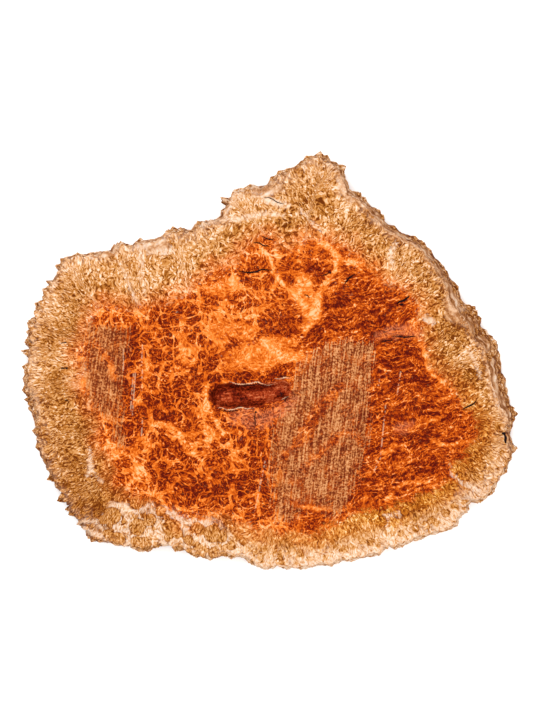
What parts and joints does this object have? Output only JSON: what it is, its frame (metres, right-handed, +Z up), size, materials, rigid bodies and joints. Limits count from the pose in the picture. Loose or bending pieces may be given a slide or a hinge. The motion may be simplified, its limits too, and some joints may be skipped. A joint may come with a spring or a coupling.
{
  "type": "eucalyptus burl board",
  "caption": "Slab sawn across a eucalyptus burl: flat figured face, flat underside, knobbly thorny natural edge all round and an open bark pocket.",
  "frame": {"origin": "middle of the board's outline, on its flat sawn underside", "axes": "+Z up through the figured sawn face, +X along the board's length, +Y towards its pointed side"},
  "size_m": [0.3994, 0.3356, 0.04],
  "materials": {
    "burl_wood": "sawn and lightly surfaced burl wood with a rough natural edge"
  },
  "bodies": {
    "root": {"burl_board": "burl_wood"}
  },
  "joints": []
}
